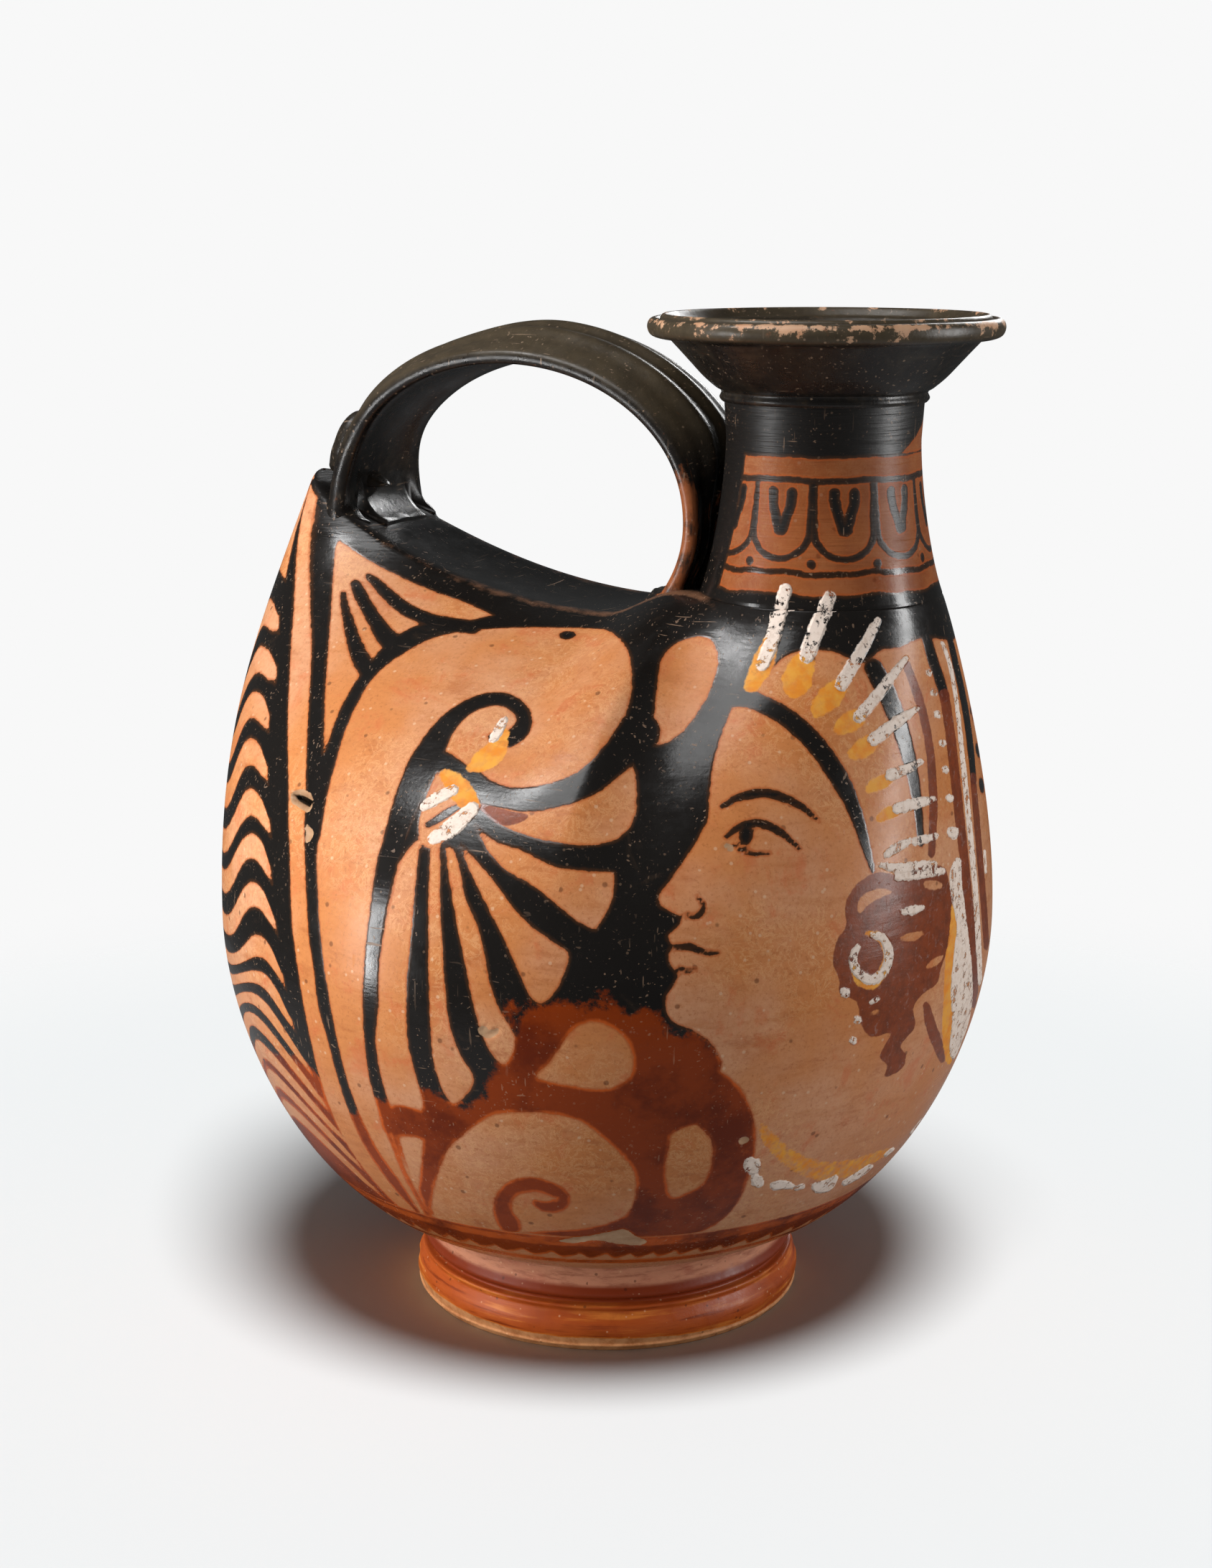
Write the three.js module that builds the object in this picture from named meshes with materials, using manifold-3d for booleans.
// Askos: a closed pouring vessel of fired clay. A moulded foot carries a round thrown body that is drawn
// up to a pointed tail on one side. A neck with a flaring mouth stands on the other side, and a wide
// strap handle arches over the saddle between them.
// Millimetres, +Z up. The origin is the centre of the resting ring, the tail points to -X and the neck
// stands on the +X side. The clay pieces are the ones that the potter threw, cut and luted together.

import * as THREE from 'three';
import Module from 'manifold-3d';

const wasm = await Module();
wasm.setup();

// Clay
const wall = 4.8;             // wall of the body
const floorThickness = 5.4;   // floor of the body, over the foot
const seam = 0.3;             // gap round a piece of clay that is fitted to another
const overrun = 3;            // how far a cutter passes the face that it cuts
const weld = 0.0005;          // points closer than this are one point

// Foot
const footHeight = 22.2;
const footRadius = 46.9;      // outer edge of the resting ring
const restWidth = 7.5;        // width of the flat ring that the vessel rests on
const footHollow = 12.5;      // depth of the hollow under the foot
// Outline of the foot from the ground up: shares of the foot's radius and height
const footOutlineShares = [
  [1.000, 0.000], [1.013, 0.065], [1.006, 0.080], [1.019, 0.190], [1.014, 0.300], [0.990, 0.385],
  [0.981, 0.425], [0.989, 0.470], [0.982, 0.492], [0.952, 0.505], [0.953, 0.540], [0.975, 0.575],
  [0.979, 0.620], [0.962, 0.690], [0.950, 0.780], [0.955, 0.890], [0.978, 1.000],
];

// Body
const bellyRadius = 93.4;     // widest radius
const bowlRise = 75.8;        // from the foot to the widest circle, where the two halves meet
const baseRadius = 50;        // lower edge of the body, above the foot
const baseLean = 19.9;        // degrees that the wall rises where it leaves the foot
const baseDropShare = 0.388;  // how long the wall stays upright below the belly
const basePullShare = 0.624;  // how long it keeps its lean above the foot

// Tail, saddle and shoulder
const shoulderRise = 73.5;    // from the widest circle to the saddle's lowest point
const tailInset = 11.4;       // from the widest radius in to the tip of the tail
const tailRise = 27.5;        // from the saddle's lowest point to that tip
const saddleWidth = 32;       // between the two edges of the saddle
const saddleInset = 20.1;     // from the neck's foot back to that lowest point
const saddleDish = 1.2;       // how far the saddle is hollowed between its edges
const tailFill = 5;           // extra clay inside the tip of the tail
const saddlePower = 1.9;      // how the saddle climbs to the tail
const saddleSquareness = 8;   // how square the saddle stays before it closes at the tail
const shoulderEaseShare = 0.156;   // rounding where the saddle's edge runs into the neck
const tailLean = 70;          // degrees of rise of the wall at the tail's tip
const sideLean = 17.7;        // the same at the saddle's edge
const neckLean = 70;          // the same at the foot of the neck
const tailBlend = 1.82;       // how fast the wall takes the tail's form
const frontBlend = 1.5;       // how fast it takes the front's form
const tailRiseShare = 0.619;  // how long the wall stays upright above the belly, at the tail
const sideRiseShare = 0.555;
const frontRiseShare = 0.37;
const tailPullShare = 0.383;  // how long it keeps its lean below the rim, at the tail
const sidePullShare = 0.463;
const neckPullShare = 0.224;
const frontPullShare = 0.174;

// Saddle strip, let into the top of the body
const stripTailInset = 23;    // from the tail's tip to the strip's end
const stripFrontInset = 11.1; // from the neck's foot back to its other end
const stripEdge = 3.6;        // clay left beside it, at the saddle's edge
const stripBevel = 2.6;       // how far its sides slope in, so that it sits like a lid
const stripRoundShare = 0.3;  // how much its ends are drawn in

// Neck
const neckInset = 10.3;       // from the widest radius in to the foot of the neck
const neckBaseRadius = 27.5;
const neckBaseRise = 6.5;     // from the saddle's lowest point to the foot of the neck
const neckHeight = 42.8;
const neckWaistRadius = 21.9;
const neckWaistDrop = 8.3;    // from the neck's top down to its waist
const neckTopRadius = 22.4;
const neckWall = 4.6;
const neckFlareShare = 0.28;  // how long the flare keeps the shoulder's lean
const neckStemShare = 0.24;   // how long the neck runs straight below its waist

// Mouth
const mouthHeight = 19.2;
const mouthRadius = 39.8;
// Outside of the mouth, from the neck up and over the rolled lip: shares of the way out from the neck's
// top to the mouth's radius, and of the way up
const mouthOutsideShares = [
  [0.030, 0.000], [0.065, 0.045], [0.040, 0.115], [0.120, 0.165], [0.275, 0.285], [0.445, 0.450],
  [0.640, 0.640], [0.735, 0.718], [0.860, 0.725], [0.960, 0.765], [1.000, 0.850], [0.975, 0.930],
  [0.905, 0.962], [0.845, 0.922], [0.825, 0.975], [0.790, 1.000],
];
// Inside of the mouth, from the lip down to the bore: shares of the way out from the bore
const mouthInsideShares = [
  [0.800, 0.985], [0.745, 0.900], [0.700, 0.890], [0.585, 0.735], [0.330, 0.405], [0.110, 0.170],
  [0.000, 0.000],
];

// Strap handle: its inner face follows an ellipse in the plane of the tail and the neck
const handleWidth = 33;
const handleTailWidth = 30;   // above the tail
const handleTailFlare = 12;   // how much it spreads where it stands on the tail
const handleThickness = 4.4;
const handleTailThickness = 7;
const handleFrontThickness = 3.4;
const handleCrown = 5.4;      // how far its middle stands above its edges at the top
const handleTailCrown = 3.7;
const handleFrontCrown = -1.6;
const handleBead = 2.1;       // radius of its rolled edges
const handleHollowShare = 0.55;    // how much of the crown its inner face follows
const handleRib = 0.45;       // height of the long ribs on its back
const ribCount = 4;
const loopTailInset = 16.9;   // from the tail's tip to the loop
const loopLift = 21.5;        // from the saddle's lowest point to the loop's centre
const loopRise = 34;          // from there to the top of the loop
const rootDepth = 11;         // how far the strap is made past its roots before it is cut to fit

// Clay fillets pressed into the inner corners of the handle's roots
const filletTailRise = 9;
const filletTailRun = 10.5;
const filletFrontRise = 5.5;
const filletFrontRun = 7;
const filletInset = 2.5;      // they stop short of the strap's edges
const filletSink = 2.3;       // how far they reach into the corner before they are cut to fit

// Spur behind the handle, at the tail's tip
const spurRise = 15;          // above the tail's rim
const spurLean = 7.5;         // how far its tip leans in
const spurWidth = 25;
const spurTipWidth = 11;
const spurThickness = 12;     // at its base
const spurTipThickness = 7;
const spurDepth = 8;          // how far it reaches down behind the strap
const spurBaseShare = 0.3;    // share of its lean that its base has already

// Facets
const turnSteps = 54;         // round the body
const lowerSteps = 10;
const upperSteps = 11;
const roofSteps = 3;
const stripSteps = 20;
const neckTurnSteps = 36;
const neckSteps = 7;
const strapSteps = 32;
const acrossSteps = 8;        // across the strap
const roundSteps = 18;        // round the outline of the spur
const searchSteps = 40;       // halvings when a crossing is searched

const { lerp, degToRad, smoothstep, clamp } = THREE.MathUtils;
const fullTurn = 2 * Math.PI;

// Heights over the ground and places along X that follow from the sizes
const bellyHeight = footHeight + bowlRise;
const saddleHeight = bellyHeight + shoulderRise;
const tailHeight = saddleHeight + tailRise;
const neckBaseHeight = saddleHeight + neckBaseRise;
const mouthBaseHeight = neckBaseHeight + neckHeight;
const neckWaistHeight = mouthBaseHeight - neckWaistDrop;
const overallHeight = mouthBaseHeight + mouthHeight;
const loopHeight = saddleHeight + loopLift;
const tailReach = bellyRadius - tailInset;
const neckOffset = bellyRadius - neckInset - neckBaseRadius;
const neckBack = neckOffset - neckBaseRadius;
const saddleOffset = neckBack - saddleInset;
const loopTail = -tailReach + loopTailInset;
const loopCentre = (loopTail + neckBack) / 2;
const loopReach = (neckBack - loopTail) / 2;

// Closed meshes, cuts and joins

function meshFrom(points, faces) {
  const index = new Map();
  const places = [];
  const ids = points.map((p) => {
    const key = [p.x, p.y, p.z].map((v) => Math.round(v / weld)).join();
    if (!index.has(key)) {
      index.set(key, places.length);
      places.push(p);
    }
    return index.get(key);
  });
  const kept = [];
  for (const [a, b, c] of faces) {
    const face = [ids[a], ids[b], ids[c]];
    if (new Set(face).size === 3) kept.push(face);
  }
  const volume = kept.reduce((sum, [i, j, k]) => (
    sum + places[i].dot(new THREE.Vector3().crossVectors(places[j], places[k]))), 0);
  if (volume < 0) kept.forEach((face) => face.reverse());
  const geometry = new THREE.BufferGeometry().setFromPoints(places);
  geometry.setIndex(kept.flat());
  return geometry;
}

function solidOf(geometry) {
  const vertProperties = Float32Array.from(geometry.attributes.position.array);
  const triVerts = Uint32Array.from(geometry.index.array);
  return new wasm.Manifold(new wasm.Mesh({ numProp: 3, vertProperties, triVerts }));
}

function geometryOf(solid) {
  const mesh = solid.getMesh();
  const geometry = new THREE.BufferGeometry();
  geometry.setAttribute('position', new THREE.Float32BufferAttribute(mesh.vertProperties, 3));
  geometry.setIndex(Array.from(mesh.triVerts));
  geometry.computeVertexNormals();
  return geometry;
}

// Triangles that fill a ring, laid flat along the axis that it faces most
function fillRing(ring) {
  const facing = new THREE.Vector3();
  ring.forEach((p, i) => {
    const q = ring[(i + 1) % ring.length];
    facing.add(new THREE.Vector3().crossVectors(p, q));
  });
  const sizes = [Math.abs(facing.x), Math.abs(facing.y), Math.abs(facing.z)];
  const dropped = sizes.indexOf(Math.max(...sizes));
  const flat = ring.map((p) => {
    const kept = p.toArray().filter((value, axis) => axis !== dropped);
    return new THREE.Vector2(...kept);
  });
  const faces = THREE.ShapeUtils.triangulateShape(flat, []);
  const forward = faces.some(([a, b, c]) => (b - a + ring.length) % ring.length === 1
    || (c - b + ring.length) % ring.length === 1 || (a - c + ring.length) % ring.length === 1);
  return forward ? faces : faces.map((face) => [...face].reverse());
}

// Rings of equal count, joined in order and closed at both ends
function loft(rings) {
  const count = rings[0].length;
  const faces = [];
  for (let r = 0; r + 1 < rings.length; r += 1) {
    for (let i = 0; i < count; i += 1) {
      const next = (i + 1) % count;
      const [a, b, c, d] = [r * count + i, r * count + next, (r + 1) * count + next, (r + 1) * count + i];
      faces.push([a, b, c], [a, c, d]);
    }
  }
  const last = (rings.length - 1) * count;
  fillRing(rings[0]).forEach((face) => faces.push([...face].reverse()));
  fillRing(rings[rings.length - 1]).forEach((face) => faces.push(face.map((i) => i + last)));
  return meshFrom(rings.flat(), faces);
}

// A profile of [radius, height] pairs turned about an upright axis that stands at x
function turned(profile, steps, x = 0) {
  const points = [];
  const faces = [];
  profile.forEach(([radius, height]) => {
    for (let i = 0; i < steps; i += 1) {
      const turn = (i / steps) * fullTurn;
      points.push(new THREE.Vector3(x + radius * Math.cos(turn), radius * Math.sin(turn), height));
    }
  });
  const open = profile[0][0] === 0;
  const bands = open ? profile.length - 1 : profile.length;
  for (let r = 0; r < bands; r += 1) {
    const up = (r + 1) % profile.length;
    for (let i = 0; i < steps; i += 1) {
      const next = (i + 1) % steps;
      const [a, b, c, d] = [r * steps + i, r * steps + next, up * steps + next, up * steps + i];
      faces.push([a, b, c], [a, c, d]);
    }
  }
  return meshFrom(points, faces);
}

function curvePoints(start, pull, lead, end, steps) {
  const curve = new THREE.CubicBezierCurve(start, pull, lead, end);
  return curve.getPoints(steps);
}

// The body's forms. One function makes the outside, the hollow and the fitted cutters, from these sizes

function bodyForm(inset) {
  return {
    belly: bellyRadius - inset,
    tail: tailReach - inset - (inset > 0 ? tailFill : 0),
    rim: inset,
    half: saddleWidth / 2 - inset,
    neck: neckBaseRadius - inset,
  };
}

// Height of the saddle and of the seat of the neck, over a place x along the vessel
function roofHeight(x) {
  const climb = clamp((saddleOffset - x) / (saddleOffset + tailReach), 0, 1) ** saddlePower;
  const seat = smoothstep(x, saddleOffset, neckBack);
  return saddleHeight + (tailHeight - saddleHeight) * climb + (neckBaseHeight - saddleHeight) * seat;
}

function roofDish(x, form) {
  const share = clamp((x + form.tail) / (neckBack + form.tail), 0, 1);
  return saddleDish * Math.sin(Math.PI * share);
}

// The point of the upper rim that the wall at one turn of the wheel runs up to, and how far it
// belongs to the neck there
function rimPoint(form, turn) {
  const front = neckOffset + form.neck;
  const middle = (front - form.tail) / 2;
  const reach = (front + form.tail) / 2;
  const x = middle + reach * Math.cos(turn);
  const circle = Math.sqrt(Math.max(0, form.neck ** 2 - (x - neckOffset) ** 2));
  const along = clamp((middle - x) / reach, 0, 1);
  const strip = form.half * Math.sqrt(1 - along ** saddleSquareness);
  const neckShare = smoothstep(x, neckOffset - form.neck, neckOffset - form.neck / 10);
  const ease = saddleWidth * shoulderEaseShare * Math.abs(Math.sin(turn)) * (1 - neckShare);
  const joined = (circle + strip + Math.hypot(circle - strip, ease)) / 2;
  const y = lerp(joined, circle, neckShare) * Math.sign(Math.sin(turn));
  const drop = form.rim * (1 - neckShare * (form.rim > 0 ? 1 : 0));
  const point = new THREE.Vector3(x, Math.abs(Math.sin(turn)) < Number.EPSILON * 4 ? 0 : y, roofHeight(x) - drop);
  return { point, neckShare };
}

function meridian(form, turn) {
  const { point, neckShare } = rimPoint(form, turn);
  const tailShare = Math.max(0, -Math.cos(turn)) ** tailBlend;
  const frontShare = Math.max(0, Math.cos(turn)) ** frontBlend;
  const sideUp = saddleHeight - bellyHeight;
  const tailUp = tailHeight - bellyHeight;
  const neckUp = neckBaseHeight - bellyHeight;
  const rise = sideUp * sideRiseShare
    + (tailUp * tailRiseShare - sideUp * sideRiseShare) * tailShare
    + (neckUp * frontRiseShare - sideUp * sideRiseShare) * frontShare;
  const neckPull = neckUp * lerp(neckPullShare, frontPullShare, frontShare);
  const pull = sideUp * sidePullShare
    + (tailUp * tailPullShare - sideUp * sidePullShare) * tailShare
    + (neckPull - sideUp * sidePullShare) * neckShare;
  const lean = degToRad(sideLean + (tailLean - sideLean) * tailShare + (neckLean - sideLean) * neckShare);
  const start = new THREE.Vector3(form.belly * Math.cos(turn), form.belly * Math.sin(turn), bellyHeight);
  const inward = new THREE.Vector3(point.x - start.x, point.y - start.y, 0).normalize();
  const toNeck = new THREE.Vector3(neckOffset - point.x, -point.y, 0).normalize();
  inward.lerp(toNeck, neckShare).normalize();
  const lead = inward.multiplyScalar(Math.cos(lean));
  lead.z = Math.sin(lean);
  const curve = new THREE.CubicBezierCurve3(
    start,
    start.clone().setZ(bellyHeight + rise),
    point.clone().addScaledVector(lead, -pull),
    point,
  );
  return curve.getPoints(upperSteps);
}

// The upper half as one closed solid: wall, roof and a flat bottom that lies lower by the given depth
function upperSolid(form, depth) {
  const columns = [];
  for (let i = 0; i < turnSteps; i += 1) {
    const side = meridian(form, (i / turnSteps) * fullTurn);
    const rim = side[side.length - 1];
    const column = [new THREE.Vector3(0, 0, bellyHeight - depth)];
    if (depth > 0) column.push(side[0].clone().setZ(bellyHeight - depth));
    column.push(...side);
    for (let s = 1; s <= roofSteps; s += 1) {
      const share = 1 - s / roofSteps;
      const dish = roofDish(rim.x, form) * (1 - share * share);
      column.push(new THREE.Vector3(rim.x, rim.y * share, rim.z - dish));
    }
    columns.push(column);
  }
  const rows = columns[0].length;
  const faces = [];
  for (let i = 0; i < turnSteps; i += 1) {
    const next = ((i + 1) % turnSteps) * rows;
    for (let r = 0; r + 1 < rows; r += 1) {
      const [a, b, c, d] = [i * rows + r, next + r, next + r + 1, i * rows + r + 1];
      faces.push([a, b, c], [a, c, d]);
    }
  }
  return solidOf(meshFrom(columns.flat(), faces));
}

// Profile of the lower half, from the belly down to the foot, moved in by the wall
function lowerProfile(inset, floor) {
  const drop = (bellyHeight - footHeight) * baseDropShare;
  const pull = (bellyRadius - baseRadius) * basePullShare;
  const lean = degToRad(baseLean);
  const bottom = footHeight + floor;
  const edge = baseRadius - inset;
  return curvePoints(
    new THREE.Vector2(bellyRadius - inset, bellyHeight),
    new THREE.Vector2(bellyRadius - inset, bellyHeight - drop),
    new THREE.Vector2(edge + pull * Math.cos(lean), bottom + pull * Math.sin(lean)),
    new THREE.Vector2(edge, bottom),
    lowerSteps,
  ).map((p) => [p.x, p.y]);
}

// The strip of the saddle as a lid with sloping sides, smaller by the given margin all round
function stripSolid(margin) {
  const half = saddleWidth / 2 - stripEdge - margin;
  const ends = [-tailReach + stripTailInset + margin, neckBack - stripFrontInset - margin];
  const rings = [];
  for (let i = 0; i <= stripSteps; i += 1) {
    const along = (2 * i) / stripSteps - 1;
    const width = half * (1 - stripRoundShare * along ** saddleSquareness);
    const x = lerp(ends[0], ends[1], (1 + along) / 2);
    const lowX = x - stripBevel * along;
    const top = roofHeight(x) + overrun;
    const low = roofHeight(lowX) - wall - overrun;
    rings.push([
      new THREE.Vector3(x, -width, top),
      new THREE.Vector3(lowX, -width + stripBevel, low),
      new THREE.Vector3(lowX, width - stripBevel, low),
      new THREE.Vector3(x, width, top),
    ]);
  }
  return solidOf(loft(rings));
}

function neckProfile() {
  const lean = degToRad(neckLean);
  const up = neckWaistHeight - neckBaseHeight;
  const flare = up * neckFlareShare;
  const curve = (inset) => curvePoints(
    new THREE.Vector2(neckBaseRadius - inset, neckBaseHeight),
    new THREE.Vector2(neckBaseRadius - inset - flare * Math.cos(lean), neckBaseHeight + flare * Math.sin(lean)),
    new THREE.Vector2(neckWaistRadius - inset, neckWaistHeight - up * neckStemShare),
    new THREE.Vector2(neckWaistRadius - inset, neckWaistHeight),
    neckSteps,
  ).map((p) => [p.x, p.y]);
  const outside = [...curve(0), [neckTopRadius, mouthBaseHeight]];
  const inside = [...curve(neckWall), [neckTopRadius - neckWall, mouthBaseHeight]].reverse();
  return [...outside, ...inside];
}

function mouthProfile() {
  const bore = neckTopRadius - neckWall;
  const outside = mouthOutsideShares.map(([out, up]) => [
    lerp(neckTopRadius, mouthRadius, out), lerp(mouthBaseHeight, overallHeight, up)]);
  const inside = mouthInsideShares.map(([out, up]) => [
    lerp(bore, mouthRadius, out), lerp(mouthBaseHeight, overallHeight, up)]);
  return [...outside, ...inside];
}

function footProfile() {
  const outside = footOutlineShares.map(([out, up]) => [footRadius * out, footHeight * up]);
  const ring = footRadius - restWidth;
  const hollow = [[0, footHollow], [ring - footHollow / 3, footHollow], [ring, 0]];
  return [...hollow, ...outside, [0, footHeight]];
}

// The strap handle

function loopPoint(angle) {
  return new THREE.Vector3(
    loopCentre + loopReach * Math.cos(angle), 0, loopHeight + loopRise * Math.sin(angle));
}

// Where the loop comes down through the roof, between two angles
function rootAngle(high, low) {
  let [above, below] = [high, low];
  for (let i = 0; i < searchSteps; i += 1) {
    const half = (above + below) / 2;
    const p = loopPoint(half);
    if (p.z > roofHeight(p.x)) above = half;
    else below = half;
  }
  return above;
}

const tailRoot = rootAngle(degToRad(150), degToRad(250));
const frontRoot = rootAngle(degToRad(20), degToRad(-80));

// Size of the strap at one angle of the loop: the thickness, the crown and the width
function strapSize(angle) {
  const toTail = smoothstep(angle, degToRad(100), degToRad(165));
  const toFront = 1 - smoothstep(angle, degToRad(0), degToRad(30));
  const crown = lerp(handleCrown, handleTailCrown, smoothstep(angle, degToRad(80), degToRad(115)));
  const flare = handleTailFlare * smoothstep(angle, degToRad(150), degToRad(195));
  return {
    thickness: handleThickness + (handleTailThickness - handleThickness) * toTail
      + (handleFrontThickness - handleThickness) * toFront,
    crown: lerp(crown, handleFrontCrown, toFront),
    width: lerp(handleWidth, handleTailWidth, toTail) + flare,
  };
}

// Section of the strap: a ribbed back, a hollow inner face and a rolled bead along each edge, as pairs of
// the place across the strap and the height over its inner edges
function strapSection(angle, grow) {
  const { thickness, crown, width } = strapSize(angle);
  const half = width / 2 - handleBead;
  const bead = handleBead + grow;
  const bow = (share) => crown * (1 - share * share);
  const back = [];
  const inner = [];
  for (let i = 0; i <= acrossSteps; i += 1) {
    const share = 1 - (2 * i) / acrossSteps;
    const rib = handleRib * Math.cos(share * Math.PI * ribCount) * (1 - share * share);
    back.push([half * share, thickness + bow(share) + rib + grow]);
    inner.push([-half * share, bow(share) * handleHollowShare - grow]);
  }
  const roll = (side, degrees) => degrees.map((deg) => [
    side * half + bead * Math.cos(degToRad(deg)), thickness / 2 + bead * Math.sin(degToRad(deg))]);
  return [...back, ...roll(-1, [135, 180, 225]), ...inner, ...roll(1, [315, 360, 405])];
}

function strapSolid(grow) {
  const sink = rootDepth / loopRise;
  const rings = [];
  for (let i = 0; i <= strapSteps; i += 1) {
    const angle = lerp(frontRoot - sink, tailRoot + sink, i / strapSteps);
    const place = loopPoint(angle);
    const out = new THREE.Vector3(Math.cos(angle) / loopReach, 0, Math.sin(angle) / loopRise).normalize();
    rings.push(strapSection(angle, grow).map(([across, height]) => (
      place.clone().addScaledVector(out, height).setY(across))));
  }
  return solidOf(loft(rings));
}

// A concave fillet in the inner corner of a root. It runs out over the saddle on the signed side
function filletSolid(corner, run, rise, width) {
  const side = Math.sign(run);
  const inX = corner.x - side * filletSink;
  const foot = new THREE.Vector2(corner.x + run, 0);
  foot.y = roofHeight(foot.x);
  const head = new THREE.Vector2(corner.x, corner.z + rise);
  const curve = new THREE.QuadraticBezierCurve(head, new THREE.Vector2(corner.x, corner.z), foot);
  const outline = [
    new THREE.Vector2(inX, corner.z - filletSink),
    new THREE.Vector2(inX, head.y),
    ...curve.getPoints(lowerSteps),
    new THREE.Vector2(foot.x, foot.y - filletSink),
  ];
  const half = width / 2 - filletInset;
  return solidOf(loft([half, -half].map((y) => outline.map((p) => new THREE.Vector3(p.x, y, p.y)))));
}

// The spur behind the handle, a flat tongue that narrows to a rounded tip
function spurSolid() {
  const levelShares = [[0, 1], [0.3, 1], [0.6, 0.98], [0.85, 0.9], [0.96, 0.72], [1, 0.45]];
  const ring = (height, share, full) => {
    const back = -tailReach + spurLean * Math.max(share, spurBaseShare);
    const thick = lerp(spurThickness, spurTipThickness, share);
    const width = lerp(spurWidth, spurTipWidth, share);
    const points = [];
    for (let i = 0; i < roundSteps; i += 1) {
      const turn = (i / roundSteps) * fullTurn;
      const x = back + (thick / 2) * (1 + full * Math.cos(turn));
      points.push(new THREE.Vector3(x, (width / 2) * full * Math.sin(turn), height));
    }
    return points;
  };
  const rings = levelShares.map(([share, full]) => ring(tailHeight + spurRise * share, share, full));
  return solidOf(loft([ring(tailHeight - spurDepth, 0, 1), ...rings]));
}

// The pieces

const outside = upperSolid(bodyForm(0), 0);
const hollow = upperSolid(bodyForm(wall), overrun);
const around = upperSolid(bodyForm(-seam), 0);
const bore = solidOf(turned([
  [0, neckBaseHeight - wall], [neckBaseRadius - wall, neckBaseHeight - wall],
  [neckBaseRadius - wall, neckBaseHeight + overrun], [0, neckBaseHeight + overrun],
], neckTurnSteps, neckOffset));
const shell = outside.subtract(hollow).subtract(bore);
const neckOutside = neckProfile().slice(0, neckSteps + 2);
const mouthOutside = mouthProfile().slice(0, mouthOutsideShares.length);
const aroundNeck = solidOf(turned([
  [0, neckBaseHeight],
  ...[...neckOutside, ...mouthOutside].map(([radius, height]) => [radius + seam, height]),
  [0, overallHeight],
], neckTurnSteps, neckOffset));
const strap = strapSolid(0).subtract(around).subtract(aroundNeck);
const aroundStrap = strapSolid(seam);
const lowerOutside = lowerProfile(0, 0).reverse();
const lowerInside = lowerProfile(wall, floorThickness);

// Finish of each fired and painted piece
const clay = { color: 0xc47848, roughness: 0.5, metalness: 0 };
const darkClay = { color: 0xb4582a, roughness: 0.42, metalness: 0 };
const blackGloss = { color: 0x1d1a17, roughness: 0.28, metalness: 0 };

const vessel = new THREE.Group();

function addPiece(name, geometry, finish) {
  const piece = new THREE.Mesh(geometry, new THREE.MeshStandardMaterial(finish));
  piece.name = name;
  vessel.add(piece);
}

addPiece('foot', turned(footProfile(), turnSteps), darkClay);
addPiece('body_bowl', turned([
  [0, footHeight], ...lowerOutside, ...lowerInside, [0, footHeight + floorThickness],
], turnSteps), clay);
addPiece('body_shoulder', geometryOf(shell.subtract(stripSolid(0))), clay);
addPiece('saddle', geometryOf(shell.intersect(stripSolid(seam))), blackGloss);
addPiece('neck', turned(neckProfile(), neckTurnSteps, neckOffset), clay);
addPiece('mouth', turned(mouthProfile(), neckTurnSteps, neckOffset), blackGloss);
addPiece('handle', geometryOf(strap), blackGloss);
addPiece('tail_spur', geometryOf(spurSolid().subtract(around).subtract(aroundStrap)), blackGloss);
addPiece('handle_tail_luting', geometryOf(
  filletSolid(loopPoint(tailRoot), filletTailRun, filletTailRise, handleTailWidth)
    .subtract(around).subtract(aroundStrap)), blackGloss);
addPiece('handle_front_luting', geometryOf(
  filletSolid(loopPoint(frontRoot), -filletFrontRun, filletFrontRise, handleWidth)
    .subtract(around).subtract(aroundStrap)), blackGloss);

export default vessel;
